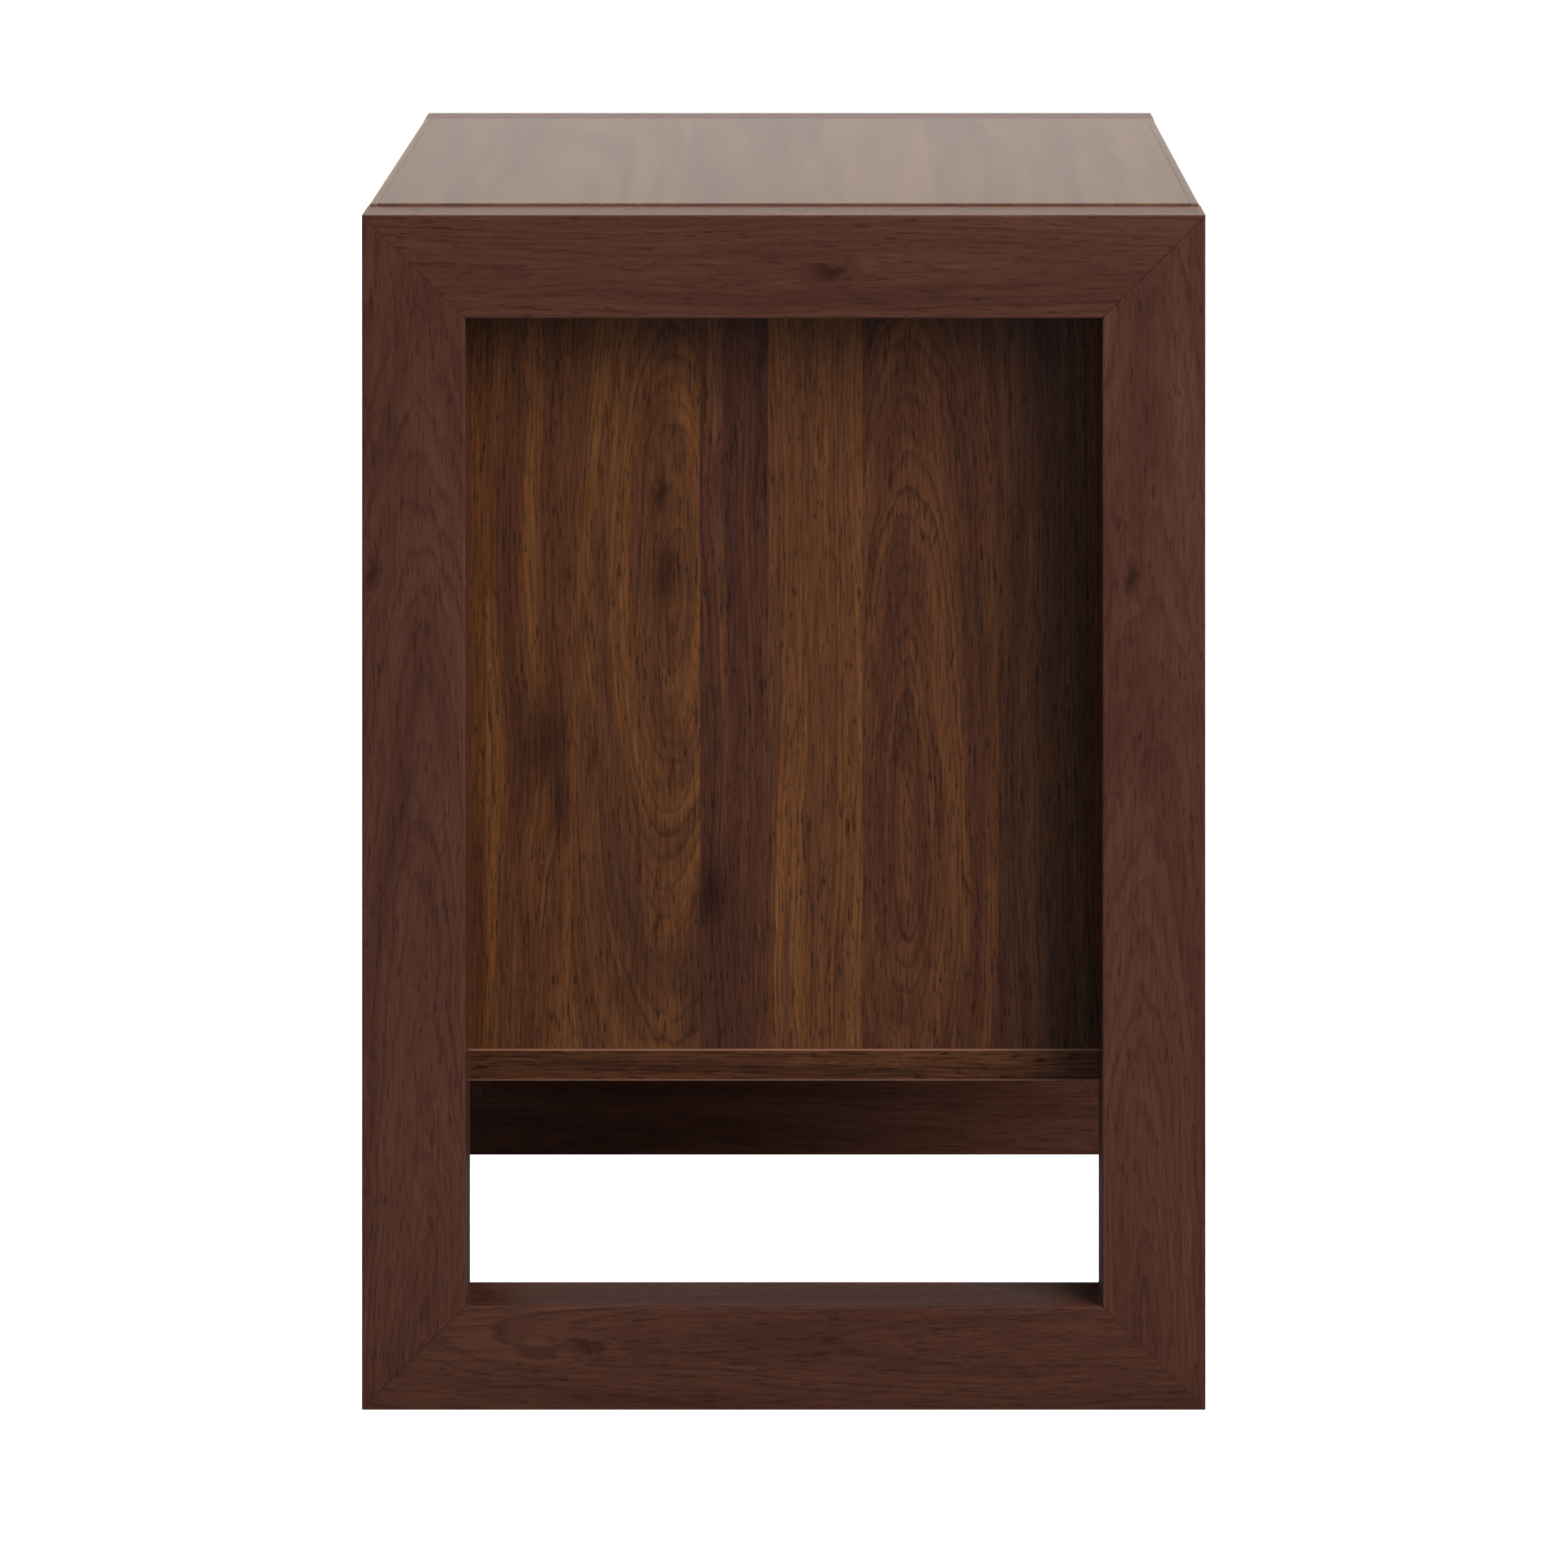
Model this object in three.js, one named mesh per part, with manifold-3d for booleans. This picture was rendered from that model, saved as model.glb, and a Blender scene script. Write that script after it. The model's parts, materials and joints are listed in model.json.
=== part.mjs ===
// A walnut cube storage unit: a case with one open compartment, held above the floor
// between two mitred end frames. Millimetres, +Z up, origin under the middle of the unit.
// The near frame is at -Y, the far frame at +Y, and the compartment opens towards +X.

import * as THREE from 'three';
import { mergeVertices } from 'three/addons/utils/BufferGeometryUtils.js';
import Module from 'manifold-3d';

const wasm = await Module();
wasm.setup();

// Whole unit and end frames
const unitWidth = 457;
const unitDepth = 603;
const frameHeight = 647;
const frameFace = 56;
const frameThickness = 50;
const mitreCutBack = 0.125;

// Case boards
const caseInset = 0.5;
const caseUnderside = 166;
const topRise = 1;
const topThickness = 22;
const boardThickness = 18;
const lipping = 5;

// Back panel, let into a groove on all four sides
const backThickness = 9;
const backSetIn = 9;
const grooveDepth = 6;
const grooveSlack = 0.5;

// Loose tenons across the mitres
const tenonLength = 36;
const tenonWidth = 24;
const tenonThickness = 10;
const tenonSlack = 0.3;

// Dowels between the end panels and the two boards
const dowelRadius = 4;
const dowelSlack = 0.12;
const dowelX = 140;
const dowelOffCentre = 1;
const dowelInBoard = 12;
const dowelInPanel = 18;
const dowelEndGap = 0.25;

// Screws from inside the case into the stiles
const screwLength = 40;
const screwRadius = 2.25;
const screwHeadRadius = 4.5;
const screwHeadDepth = 2.75;
const screwTipLength = 6;
const screwSlack = 0.25;
const screwX = 203;
const screwHeights = [250, 560];
const driveRadius = 1.75;
const driveDepth = 2;

// Shelf, its pins and the rows of holes they fit in
const shelfRows = 7;
const shelfRowPitch = 32;
const shelfRowInUse = 3;
const shelfEndGap = 1.5;
const shelfBackGap = 1;
const shelfSetBack = 15;
const shelfLift = 0.1;
const pinRadius = 2.4;
const pinHoleRadius = 2.5;
const pinHoleDepth = 9;
const pinShank = 8;
const pinCollarRadius = 4.5;
const pinCollar = 1.25;
const pinStubRadius = 3;
const pinStub = 9;
const pinFromShelfEdge = 50;

// Levelling feet, screwed up flush with the underside of the bottom rails
const footX = 150;
const footRadius = 15;
const footHeight = 7;
const footChamfer = 1.5;
const footGripTop = 4;
const footShoulderRadius = 12;
const footShoulder = 6.25;
const footNeckRadius = 5.9;
const stemChamfer = 1;
const stemRadius = 3.9;
const stemTop = 39.5;
const recessRadius = 17;
const recessDepth = 9;
const insertRadius = 6;
const insertBore = 4.1;
const insertLength = 15;
const insertGap = 0.5;
const insertSlack = 0.25;
const stemHoleRadius = 4.6;
const stemHoleTop = 44;

const roundSides = 16;
const smallSides = 12;
const driveSides = 6;
const overcut = 1; // how far a cutting tool stands out of the face it enters

// Planes worked out from the sizes above
const frameSide = unitWidth / 2;
const frameCentreY = unitDepth / 2 - frameThickness / 2;
const caseEnd = unitDepth / 2 - frameThickness;
const caseSide = frameSide - caseInset;
const caseTop = frameHeight + topRise;
const ceilingZ = caseTop - topThickness;
const floorZ = caseUnderside + boardThickness;
const innerEnd = caseEnd - boardThickness;
const lippedFront = caseSide - lipping;
const backRearX = -caseSide + backSetIn;
const backFrontX = backRearX + backThickness;
const shelfRearX = backFrontX + shelfBackGap;
const shelfFrontX = caseSide - shelfSetBack;
const pinColumns = [shelfRearX + pinFromShelfEdge, shelfFrontX - pinFromShelfEdge];
const middleZ = (floorZ + ceilingZ) / 2;
const pinInUseZ = middleZ - boardThickness / 2 - pinStubRadius - shelfLift;
const shelfUnderside = pinInUseZ + pinStubRadius + shelfLift;

const ends = [
  { name: 'near', side: -1 },
  { name: 'far', side: 1 },
];
const flanks = [
  { name: 'left', side: -1 },
  { name: 'right', side: 1 },
];

const frameWalnut = new THREE.MeshStandardMaterial({ color: 0x4e2e25, roughness: 0.5 });
const panelWalnut = new THREE.MeshStandardMaterial({ color: 0x543220, roughness: 0.5 });
const topWalnut = new THREE.MeshStandardMaterial({ color: 0x4a3024, roughness: 0.45 });
const lippingWalnut = new THREE.MeshStandardMaterial({ color: 0x47291b, roughness: 0.5 });
const beech = new THREE.MeshStandardMaterial({ color: 0xc9a577, roughness: 0.7 });
const zincSteel = new THREE.MeshStandardMaterial({ color: 0xa8a8a4, roughness: 0.35, metalness: 1 });
const brass = new THREE.MeshStandardMaterial({ color: 0xb08a4a, roughness: 0.35, metalness: 1 });
const blackNylon = new THREE.MeshStandardMaterial({ color: 0x1b1a1a, roughness: 0.6 });

const unit = new THREE.Group();

// ---- Helpers: boxes, turned shapes and cuts ----

function block([x0, x1], [y0, y1], [z0, z1]) {
  const geometry = new THREE.BoxGeometry(x1 - x0, y1 - y0, z1 - z0);
  return geometry.translate((x0 + x1) / 2, (y0 + y1) / 2, (z0 + z1) / 2);
}

// A turned shape about Y from [radius, height] pairs listed upwards.
function turned(profile, sides) {
  return new THREE.LatheGeometry(profile.map(([r, y]) => new THREE.Vector2(r, y)), sides);
}

// The same about Z.
function turnedUpright(profile, sides) {
  return turned(profile, sides).rotateX(Math.PI / 2);
}

function uprightHole(radius, x, y, z0, z1) {
  const hole = new THREE.CylinderGeometry(radius, radius, z1 - z0, roundSides);
  return hole.rotateX(Math.PI / 2).translate(x, y, (z0 + z1) / 2);
}

function levelHole(radius, x, y0, y1, z) {
  const hole = new THREE.CylinderGeometry(radius, radius, Math.abs(y1 - y0), smallSides);
  return hole.translate(x, (y0 + y1) / 2, z);
}

function solidFrom(geometry) {
  const bare = geometry.index ? geometry.toNonIndexed() : geometry.clone();
  bare.deleteAttribute('normal');
  bare.deleteAttribute('uv');
  const merged = mergeVertices(bare, 1e-4);
  const mesh = new wasm.Mesh({
    numProp: 3,
    vertProperties: merged.getAttribute('position').array,
    triVerts: new Uint32Array(merged.index.array),
  });
  return new wasm.Manifold(mesh);
}

function cut(blank, tools) {
  let solid = solidFrom(blank);
  for (const tool of tools) solid = solid.subtract(solidFrom(tool));
  const mesh = solid.getMesh();
  const geometry = new THREE.BufferGeometry();
  geometry.setAttribute('position', new THREE.BufferAttribute(mesh.vertProperties, 3));
  geometry.setIndex(new THREE.BufferAttribute(mesh.triVerts, 1));
  geometry.computeVertexNormals();
  return geometry;
}

function add(parent, name, geometry, material) {
  const mesh = new THREE.Mesh(geometry, material);
  mesh.name = name;
  parent.add(mesh);
  return mesh;
}

// ---- End frames: four mitred members, loose tenons, levelling feet ----

// The four corners, clockwise from the top left. Each member runs from one to the next.
const corners = [
  { name: 'top_left', x: -1, z: 1 },
  { name: 'top_right', x: 1, z: 1 },
  { name: 'bottom_right', x: 1, z: -1 },
  { name: 'bottom_left', x: -1, z: -1 },
];
const memberNames = ['top_rail', 'right_stile', 'bottom_rail', 'left_stile'];

function cornerPoint(corner, setIn) {
  const x = corner.x * (frameSide - setIn);
  const z = corner.z > 0 ? frameHeight - setIn : setIn;
  return new THREE.Vector2(x, z);
}

// One member between two corners: outer edge, two mitres, inner edge, extruded along Y.
// Both ends are cut back a little, which leaves a thin glue line at each mitre.
function memberBlank(from, to) {
  const cutBack = cornerPoint(to, 0).sub(cornerPoint(from, 0)).setLength(mitreCutBack);
  const outline = new THREE.Shape([
    cornerPoint(from, 0).add(cutBack),
    cornerPoint(from, frameFace).add(cutBack),
    cornerPoint(to, frameFace).sub(cutBack),
    cornerPoint(to, 0).sub(cutBack),
  ]);
  const bar = new THREE.ExtrudeGeometry(outline, { depth: frameThickness, bevelEnabled: false });
  return bar.rotateX(Math.PI / 2).translate(0, frameThickness / 2, 0);
}

// A tenon lies square across its mitre, so it is turned by 45 degrees about Y.
function tenonAt(corner, slack) {
  const middle = cornerPoint(corner, frameFace / 2);
  const tenon = new THREE.BoxGeometry(
    tenonLength + 2 * slack,
    tenonThickness + 2 * slack,
    tenonWidth + 2 * slack,
  );
  return tenon.rotateY((corner.x * corner.z * Math.PI) / 4).translate(middle.x, 0, middle.y);
}

function footRecess(flank) {
  const x = flank.side * footX;
  return [
    uprightHole(recessRadius, x, 0, -overcut, recessDepth),
    uprightHole(insertRadius + insertSlack, x, 0, 0, recessDepth + insertGap + insertLength + insertGap),
    uprightHole(stemHoleRadius, x, 0, 0, stemHoleTop),
  ];
}

function screwPilots(end, flank) {
  const innerFace = (-end.side * frameThickness) / 2;
  const depth = screwLength - boardThickness + overcut;
  return screwHeights.map((z) =>
    levelHole(
      screwRadius + screwSlack,
      flank.side * screwX,
      innerFace - end.side * overcut,
      innerFace + end.side * depth,
      z,
    ),
  );
}

function addEndFrame(end) {
  const frame = new THREE.Group();
  frame.position.y = end.side * frameCentreY;
  unit.add(frame);

  corners.forEach((from, i) => {
    const to = corners[(i + 1) % corners.length];
    const member = memberNames[i];
    const tools = [tenonAt(from, tenonSlack), tenonAt(to, tenonSlack)];
    if (member === 'bottom_rail') flanks.forEach((flank) => tools.push(...footRecess(flank)));
    if (member === 'left_stile') tools.push(...screwPilots(end, flanks[0]));
    if (member === 'right_stile') tools.push(...screwPilots(end, flanks[1]));
    add(frame, `${end.name}_frame_${member}`, cut(memberBlank(from, to), tools), frameWalnut);
    add(frame, `${end.name}_frame_${from.name}_tenon`, tenonAt(from, 0), beech);
  });

  flanks.forEach((flank) => addLevellingFoot(frame, end, flank));
}

function addLevellingFoot(frame, end, flank) {
  const footProfile = [
    [0, 0],
    [footRadius - footChamfer, 0],
    [footRadius, footChamfer],
    [footRadius, footGripTop],
    [footShoulderRadius, footShoulder],
    [footNeckRadius, footHeight],
    [stemRadius, footHeight],
    [stemRadius, stemTop - stemChamfer],
    [stemRadius - stemChamfer, stemTop],
    [0, stemTop],
  ];
  const foot = turnedUpright(footProfile, roundSides);
  const footMesh = add(frame, `${end.name}_${flank.name}_levelling_foot`, foot, blackNylon);
  footMesh.position.x = flank.side * footX;

  const insertProfile = [
    [insertBore, 0],
    [insertRadius, 0],
    [insertRadius, insertLength],
    [insertBore, insertLength],
    [insertBore, 0],
  ];
  const insert = turnedUpright(insertProfile, roundSides);
  const insertMesh = add(frame, `${end.name}_${flank.name}_foot_insert`, insert, brass);
  insertMesh.position.set(flank.side * footX, 0, recessDepth + insertGap);
}

// ---- Case boards ----

// The holes for two dowels' share of their length, upwards or downwards from the joint at z.
function dowelHoles(end, z, reach) {
  const y = end.side * (caseEnd - boardThickness / 2 - dowelOffCentre);
  const mouth = z - Math.sign(reach) * overcut;
  const low = Math.min(mouth, z + reach);
  const high = Math.max(mouth, z + reach);
  return flanks.map((flank) =>
    uprightHole(dowelRadius + dowelSlack, flank.side * dowelX, y, low, high),
  );
}

function backGroove(y, z) {
  return block([backRearX, backFrontX], y, z);
}

function addTopBoard() {
  const blank = block([-lippedFront, lippedFront], [-caseEnd, caseEnd], [ceilingZ, caseTop]);
  const grooveEnd = innerEnd + grooveDepth;
  const tools = [backGroove([-grooveEnd, grooveEnd], [ceilingZ - overcut, ceilingZ + grooveDepth])];
  ends.forEach((end) => tools.push(...dowelHoles(end, ceilingZ, dowelInBoard)));
  add(unit, 'case_top_board', cut(blank, tools), topWalnut);
  [['front', 1], ['rear', -1]].forEach(([name, side]) => {
    const strip = block([-lipping / 2, lipping / 2], [-caseEnd, caseEnd], [ceilingZ, caseTop]);
    const mesh = add(unit, `top_${name}_lipping`, strip, lippingWalnut);
    mesh.position.x = side * (caseSide - lipping / 2);
  });
}

function addBottomBoard() {
  const lippedEnd = caseEnd - lipping;
  const height = [caseUnderside, floorZ];
  const grooveEnd = innerEnd + grooveDepth;
  const blank = block([-caseSide, lippedFront], [-lippedEnd, lippedEnd], height);
  const tools = [backGroove([-grooveEnd, grooveEnd], [floorZ - grooveDepth, floorZ + overcut])];
  ends.forEach((end) => tools.push(...dowelHoles(end, floorZ, -dowelInBoard)));
  add(unit, 'case_bottom_board', cut(blank, tools), panelWalnut);
  const frontStrip = block([lippedFront, caseSide], [-lippedEnd, lippedEnd], height);
  add(unit, 'bottom_front_lipping', frontStrip, lippingWalnut);
  ends.forEach((end) => {
    const strip = block([-caseSide, caseSide], [-lipping / 2, lipping / 2], height);
    const mesh = add(unit, `bottom_${end.name}_lipping`, strip, lippingWalnut);
    mesh.position.y = end.side * (caseEnd - lipping / 2);
  });
}

function pinHoles(end) {
  const holes = [];
  for (const x of pinColumns) {
    for (let row = 0; row < shelfRows; row += 1) {
      const z = pinInUseZ + (row - shelfRowInUse) * shelfRowPitch;
      const from = end.side * (innerEnd - overcut);
      holes.push(levelHole(pinHoleRadius, x, from, end.side * (innerEnd + pinHoleDepth), z));
    }
  }
  return holes;
}

// Clearance for the shank, and a countersink that the head sits down in.
function screwClearance(end) {
  const reach = boardThickness + overcut;
  const profile = [
    [0, -reach],
    [screwRadius + screwSlack, -reach],
    [screwRadius + screwSlack, -screwHeadDepth],
    [screwHeadRadius + screwSlack, 0],
    [screwHeadRadius + screwSlack, overcut],
    [0, overcut],
  ];
  const holes = [];
  for (const flank of flanks) {
    for (const z of screwHeights) {
      const hole = turned(profile, smallSides).rotateZ(end.side > 0 ? Math.PI : 0);
      holes.push(hole.translate(flank.side * screwX, end.side * innerEnd, z));
    }
  }
  return holes;
}

function addEndPanel(end) {
  const thickness = end.side < 0 ? [-caseEnd, -innerEnd] : [innerEnd, caseEnd];
  const grooveY = end.side < 0
    ? [-innerEnd - grooveDepth, -innerEnd + overcut]
    : [innerEnd - overcut, innerEnd + grooveDepth];
  const blank = block([-caseSide, lippedFront], thickness, [floorZ, ceilingZ]);
  const tools = [
    backGroove(grooveY, [floorZ - overcut, ceilingZ + overcut]),
    ...pinHoles(end),
    ...screwClearance(end),
    ...dowelHoles(end, floorZ, dowelInPanel),
    ...dowelHoles(end, ceilingZ, -dowelInPanel),
  ];
  add(unit, `${end.name}_end_panel`, cut(blank, tools), panelWalnut);
  const strip = block([lippedFront, caseSide], thickness, [floorZ, ceilingZ]);
  add(unit, `${end.name}_panel_front_lipping`, strip, lippingWalnut);
}

function addBackPanel() {
  const reach = grooveDepth - grooveSlack;
  const width = innerEnd + reach;
  const panel = block(
    [backRearX, backFrontX],
    [-width, width],
    [floorZ - reach, ceilingZ + reach],
  );
  add(unit, 'back_panel', panel, panelWalnut);
}

// ---- Shelf and pins ----

function addShelf() {
  const width = innerEnd - shelfEndGap;
  const height = [shelfUnderside, shelfUnderside + boardThickness];
  const lippedShelf = shelfFrontX - lipping;
  const board = block([shelfRearX, lippedShelf], [-width, width], height);
  add(unit, 'adjustable_shelf', board, panelWalnut);
  const strip = block([lippedShelf, shelfFrontX], [-width, width], height);
  add(unit, 'shelf_front_lipping', strip, lippingWalnut);
}

function addShelfPins(end) {
  const profile = [
    [0, -pinShank],
    [pinRadius, -pinShank],
    [pinRadius, 0],
    [pinCollarRadius, 0],
    [pinCollarRadius, pinCollar],
    [pinStubRadius, pinCollar],
    [pinStubRadius, pinStub],
    [0, pinStub],
  ];
  pinColumns.forEach((x, i) => {
    const name = `${end.name}_${['rear', 'front'][i]}_shelf_pin`;
    const mesh = add(unit, name, turned(profile, smallSides), brass);
    mesh.position.set(x, end.side * innerEnd, pinInUseZ);
    mesh.rotation.z = end.side > 0 ? Math.PI : 0;
  });
}

// ---- Fixings ----

function addFrameScrews(end) {
  const profile = [
    [0, -screwLength],
    [screwRadius, -screwLength + screwTipLength],
    [screwRadius, -screwHeadDepth],
    [screwHeadRadius, 0],
    [0, 0],
  ];
  const drive = new THREE.CylinderGeometry(driveRadius, driveRadius, 2 * driveDepth, driveSides);
  for (const flank of flanks) {
    screwHeights.forEach((z, i) => {
      const name = `${end.name}_${flank.name}_${['lower', 'upper'][i]}_screw`;
      const mesh = add(unit, name, cut(turned(profile, smallSides), [drive]), zincSteel);
      mesh.position.set(flank.side * screwX, end.side * innerEnd, z);
      mesh.rotation.z = end.side > 0 ? Math.PI : 0;
    });
  }
}

function addDowels(end) {
  const y = end.side * (caseEnd - boardThickness / 2 - dowelOffCentre);
  const length = dowelInBoard + dowelInPanel - 2 * dowelEndGap;
  const shift = (dowelInPanel - dowelInBoard) / 2;
  const joints = [
    { name: 'bottom', z: floorZ + shift },
    { name: 'top', z: ceilingZ - shift },
  ];
  for (const joint of joints) {
    for (const flank of flanks) {
      const dowel = new THREE.CylinderGeometry(dowelRadius, dowelRadius, length, roundSides);
      const name = `${end.name}_${joint.name}_${flank.name}_dowel`;
      const mesh = add(unit, name, dowel.rotateX(Math.PI / 2), beech);
      mesh.position.set(flank.side * dowelX, y, joint.z);
    }
  }
}

addTopBoard();
addBottomBoard();
addBackPanel();
addShelf();
for (const end of ends) {
  addEndFrame(end);
  addEndPanel(end);
  addShelfPins(end);
  addFrameScrews(end);
  addDowels(end);
}

export default unit;
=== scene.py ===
import bpy
import bmesh
import json
import math
from mathutils import Euler, Matrix, Vector


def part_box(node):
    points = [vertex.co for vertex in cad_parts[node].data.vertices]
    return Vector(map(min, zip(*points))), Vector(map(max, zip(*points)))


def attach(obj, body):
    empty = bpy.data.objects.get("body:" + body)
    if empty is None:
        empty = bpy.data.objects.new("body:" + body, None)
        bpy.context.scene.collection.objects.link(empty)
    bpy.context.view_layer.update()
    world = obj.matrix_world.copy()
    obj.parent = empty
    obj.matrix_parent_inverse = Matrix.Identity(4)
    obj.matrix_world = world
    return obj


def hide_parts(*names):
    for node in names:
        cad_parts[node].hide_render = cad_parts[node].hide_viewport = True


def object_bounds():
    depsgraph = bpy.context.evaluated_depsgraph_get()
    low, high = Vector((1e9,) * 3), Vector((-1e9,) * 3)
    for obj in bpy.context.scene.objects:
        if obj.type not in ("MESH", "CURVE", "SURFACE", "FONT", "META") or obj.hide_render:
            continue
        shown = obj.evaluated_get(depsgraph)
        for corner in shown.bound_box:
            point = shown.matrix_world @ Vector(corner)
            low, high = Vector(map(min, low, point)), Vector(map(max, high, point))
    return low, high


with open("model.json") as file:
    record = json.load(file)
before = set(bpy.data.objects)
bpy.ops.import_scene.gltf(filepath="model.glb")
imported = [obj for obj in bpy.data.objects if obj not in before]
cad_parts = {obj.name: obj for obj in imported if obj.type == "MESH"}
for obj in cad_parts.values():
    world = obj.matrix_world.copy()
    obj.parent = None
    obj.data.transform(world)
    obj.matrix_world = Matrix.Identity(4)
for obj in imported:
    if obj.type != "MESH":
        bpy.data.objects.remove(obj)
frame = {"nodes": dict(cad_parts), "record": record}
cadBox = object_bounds()
nodes = frame["nodes"]
scene = bpy.context.scene
scene.view_settings.view_transform = "Standard"
unitLow, unitHigh = cadBox
print("frame loaded:", len(nodes), "nodes")

# end on and high up, with the film upright
camera = {
    "toNearFrame": 3.567,   # lens to the face of the near frame
    "height": 1.0296,       # lens above the floor
    "aside": 0.0219,        # lens to the right of the unit's middle
    "film": 36,             # millimetres across
    "lens": 151.25,         # millimetres from lens to film, measured level
    "lookDown": 0.19364,    # drop for each metre forward
    "lookAside": -0.0061,
    "farLimit": 200,
}


def makeCamera(view):
    stand = bpy.data.objects.new("cameraStand", None)
    stand.location = (view["aside"], unitLow.y - view["toNearFrame"], view["height"])
    scene.collection.objects.link(stand)
    look = Vector((view["lookAside"], 1, -view["lookDown"]))
    data = bpy.data.cameras.new("endView")
    data.sensor_width = view["film"]
    data.lens = view["lens"] * look.length
    data.clip_end = view["farLimit"]
    lens = bpy.data.objects.new("endView", data)
    scene.collection.objects.link(lens)
    lens.parent = stand
    # the film stays upright while the lens looks down, so upright edges stay parallel
    back = -look.normalized()
    lens.matrix_parent_inverse = Matrix((
        (1, 0, back.x, 0),
        (0, 0, back.y, 0),
        (0, 1, back.z, 0),
        (0, 0, 0, 1),
    ))
    scene.camera = lens


makeCamera(camera)
print("camera made")


def put(tree, kind, values=(), **settings):
    made = tree.nodes.new("ShaderNode" + kind)
    for key, value in settings.items():
        setattr(made, key, value)
    pairs = values.items() if isinstance(values, dict) else enumerate(values)
    for key, value in pairs:
        if value is None:
            continue
        if isinstance(value, bpy.types.NodeSocket):
            tree.links.new(value, made.inputs[key])
        else:
            made.inputs[key].default_value = value
    return made


def calc(tree, operation, *values, clamp=False):
    return put(tree, "Math", values, operation=operation, use_clamp=clamp).outputs[0]


def vec(tree, operation, *values):
    made = put(tree, "VectorMath", values, operation=operation)
    return made.outputs["Value" if operation in ("LENGTH", "DOT_PRODUCT") else "Vector"]


def noise(tree, vector, scale=1.0, detail=2.0, rough=0.5, output="Fac"):
    values = {"Vector": vector, "Scale": scale, "Detail": detail, "Roughness": rough}
    return put(tree, "TexNoise", values).outputs[output]


def spread(tree, value, low, high, toLow=0.0, toHigh=1.0, soft=False):
    kind = "SMOOTHSTEP" if soft else "LINEAR"
    values = (value, low, high, toLow, toHigh)
    return put(tree, "MapRange", values, interpolation_type=kind).outputs[0]


def mix(tree, factor, a, b, blend="MIX"):
    made = put(tree, "Mix", {0: factor, 6: a, 7: b}, data_type="RGBA", blend_type=blend)
    return made.outputs[2]


def ramp(tree, value, stops, kind="LINEAR"):
    made = put(tree, "ValToRGB", (value,))
    steps = made.color_ramp
    steps.interpolation = kind
    while len(steps.elements) < len(stops):
        steps.elements.new(0.5)
    for element, (position, colour) in zip(steps.elements, stops):
        element.position = position
        element.color = tuple(colour) if len(colour) == 4 else (*colour, 1)
    return made


def makeGroup(name, inputs, outputs):
    tree = bpy.data.node_groups.new(name, "ShaderNodeTree")
    kinds = {"F": "NodeSocketFloat", "V": "NodeSocketVector", "C": "NodeSocketColor"}
    for label, kind, start in inputs:
        made = tree.interface.new_socket(label, in_out="INPUT", socket_type=kinds[kind])
        made.default_value = start
    for label, kind in outputs:
        tree.interface.new_socket(label, in_out="OUTPUT", socket_type=kinds[kind])
    into = tree.nodes.new("NodeGroupInput").outputs
    out = tree.nodes.new("NodeGroupOutput").inputs
    return tree, into, out


def useGroup(tree, group, values):
    made = tree.nodes.new("ShaderNodeGroup")
    made.node_tree = group
    for key, value in values.items():
        if isinstance(value, bpy.types.NodeSocket):
            tree.links.new(value, made.inputs[key])
        else:
            made.inputs[key].default_value = value
    return made.outputs


def srgb(red, green, blue):
    def linear(v):
        v /= 255
        return v / 12.92 if v <= 0.04045 else ((v + 0.055) / 1.055) ** 2.4
    return (linear(red), linear(green), linear(blue), 1)


knotShape = {
    "ragged": 0.012,              # how far the outline wavers, in metres
    "raggedSize": 70,             # how finely
    "stretch": (1, 0.5, 0.42),    # less than 1 makes it longer that way
    "bendFades": 0.22,            # how fast the bent rings die away around it
    "coreFades": 1.3,             # how fast its dark middle does
}
figureShape = {
    # noise scales are in cycles a metre: across the grain twice, then along it
    "seedStep": 7.31,
    "seedAside": 1.37,            # the same step, sideways
    "bendSize": (10, 10, 4.5),
    "jitterSize": (150, 150, 9),
    "jitter": 0.9,                # in rings
    "lateWood": [(0, (0, 0, 0)), (0.5, (0.12, 0.12, 0.12)), (0.86, (1, 1, 1)), (1, (0, 0, 0))],
    "unevenStep": 0.37,           # ring to ring
    "unevenRange": (0.35, 0.65, 0.1, 1),
    "streakSize": (85, 24, 2.6),
    "streakRange": (0.25, 0.75),
    "sway": 0.5,                  # how much of the log's bends the fibres follow
    "fibreSize": (680, 680, 38),
    "fibreRange": (0.28, 0.72),
    "poreSize": (900, 900, 95),
    "poreRange": (0.56, 0.7),
}
stainShape = {
    # what the deep colour is multiplied by
    "lateWood": (0.72, 0.7, 0.7, 1),
    "pore": (0.3, 0.26, 0.24, 1),
    "knot": (0.4, 0.36, 0.36, 1),
    "lateShare": 0.7,
    "fibreRough": 0.12,
    "poreRough": 0.2,
    "fibreHeight": 0.5,
    "ringHeight": 0.3,
    "depth": 0.00012,             # of the whole relief
}


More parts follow.
